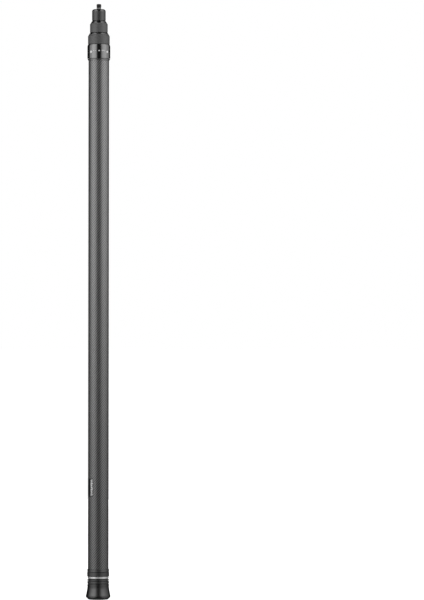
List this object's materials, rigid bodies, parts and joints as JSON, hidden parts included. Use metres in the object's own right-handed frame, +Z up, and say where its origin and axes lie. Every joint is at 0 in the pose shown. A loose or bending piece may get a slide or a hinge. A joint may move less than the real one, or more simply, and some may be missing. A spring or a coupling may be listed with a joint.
{
  "type": "boom pole",
  "caption": "Telescopic carbon boom pole with twist locks, a threaded microphone stud, a flared screw-on end cap and a rubber foot.",
  "frame": {"origin": "middle of the rubber foot's lower face", "axes": "+Z up along the pole to the microphone stud; -Y is the front, with the small index dot just to its right; the label is on the -X side"},
  "size_m": [0.0324, 0.0324, 0.78],
  "materials": {
    "carbon": "woven carbon fibre under a satin clear coat",
    "black_anodised": "black anodised, satin, turned grooves",
    "gloss_anodised": "black anodised, polished",
    "matte_anodised": "black anodised, bead blasted, matte",
    "bright_aluminium": "clear anodised, fine turned",
    "plain_aluminium": "as turned",
    "black_steel": "black oxide on steel, threaded",
    "steel": "zinc plated",
    "rubber": "moulded, matte",
    "acetal": "natural acetal, machined",
    "felt": "dense felt",
    "label_film": "black printed film",
    "white_enamel": "filled and polished"
  },
  "bodies": {
    "base": {"end_cap": "black_anodised", "cap_grip_ring": "black_anodised", "cap_oring": "rubber", "rubber_foot": "rubber", "foot_screw": "steel"},
    "spacer_ring": {"accent_ring": "bright_aluminium"},
    "outer_section": {"outer_tube": "carbon", "base_collar": "black_anodised", "base_insert": "plain_aluminium", "base_bumper": "rubber", "ferrule_1": "black_anodised", "grip_label": "label_film"},
    "lock_1_collet": {"collet_1": "acetal"},
    "lock_1_nut": {"lock_nut_1": "gloss_anodised", "slip_washer_1": "acetal", "wiper_ring_1": "felt", "index_dots": "white_enamel"},
    "section_2": {"section_2_tube": "carbon", "bottom_plug_2": "acetal", "guide_bush_2": "acetal", "ferrule_2": "black_anodised"},
    "lock_2_collet": {"collet_2": "acetal"},
    "lock_2_nut": {"lock_nut_2": "matte_anodised", "slip_washer_2": "acetal", "wiper_ring_2": "felt"},
    "section_3": {"section_3_tube": "carbon", "bottom_plug_3": "acetal", "guide_bush_3": "acetal", "ferrule_3": "black_anodised"},
    "lock_3_collet": {"collet_3": "acetal"},
    "lock_3_nut": {"lock_nut_3": "matte_anodised", "slip_washer_3": "acetal", "wiper_ring_3": "felt"},
    "section_4": {"section_4_tube": "carbon", "bottom_plug_4": "acetal", "guide_bush_4": "acetal", "head_adapter": "matte_anodised", "mic_stud": "black_steel"}
  },
  "joints": [
    {"name": "cap_thread_lift", "type": "slide", "parent": "base", "child": "spacer_ring", "axis": [0, 0, 1], "range_m": [0, 0.003]},
    {"name": "cap_thread_turn", "type": "hinge", "parent": "spacer_ring", "child": "outer_section", "pos_m": [0, 0, 0.03], "axis": [0, 0, 1], "range_deg": [0, 720]},
    {"name": "lock_1_lift", "type": "slide", "parent": "outer_section", "child": "lock_1_collet", "axis": [0, 0, 1], "range_m": [0, 0.00025025]},
    {"name": "lock_1_turn", "type": "hinge", "parent": "lock_1_collet", "child": "lock_1_nut", "pos_m": [0, 0, 0.7138], "axis": [0, 0, 1], "range_deg": [0, 90]},
    {"name": "section_2_slide", "type": "slide", "parent": "outer_section", "child": "section_2", "axis": [0, 0, 1], "range_m": [0, 0.595]},
    {"name": "lock_2_lift", "type": "slide", "parent": "section_2", "child": "lock_2_collet", "axis": [0, 0, 1], "range_m": [0, 0.00025025]},
    {"name": "lock_2_turn", "type": "hinge", "parent": "lock_2_collet", "child": "lock_2_nut", "pos_m": [0, 0, 0.732], "axis": [0, 0, 1], "range_deg": [0, 90]},
    {"name": "section_3_slide", "type": "slide", "parent": "section_2", "child": "section_3", "axis": [0, 0, 1], "range_m": [0, 0.595]},
    {"name": "lock_3_lift", "type": "slide", "parent": "section_3", "child": "lock_3_collet", "axis": [0, 0, 1], "range_m": [0, 0.00025025]},
    {"name": "lock_3_turn", "type": "hinge", "parent": "lock_3_collet", "child": "lock_3_nut", "pos_m": [0, 0, 0.7473], "axis": [0, 0, 1], "range_deg": [0, 90]},
    {"name": "section_4_slide", "type": "slide", "parent": "section_3", "child": "section_4", "axis": [0, 0, 1], "range_m": [0, 0.595]}
  ],
  "couplings": [
    {"joint": "cap_thread_lift", "follows": "cap_thread_turn", "m_per_rad": 0.00023873},
    {"joint": "lock_1_lift", "follows": "lock_1_turn", "m_per_rad": 0.00015915},
    {"joint": "lock_2_lift", "follows": "lock_2_turn", "m_per_rad": 0.00015915},
    {"joint": "lock_3_lift", "follows": "lock_3_turn", "m_per_rad": 0.00015915}
  ]
}
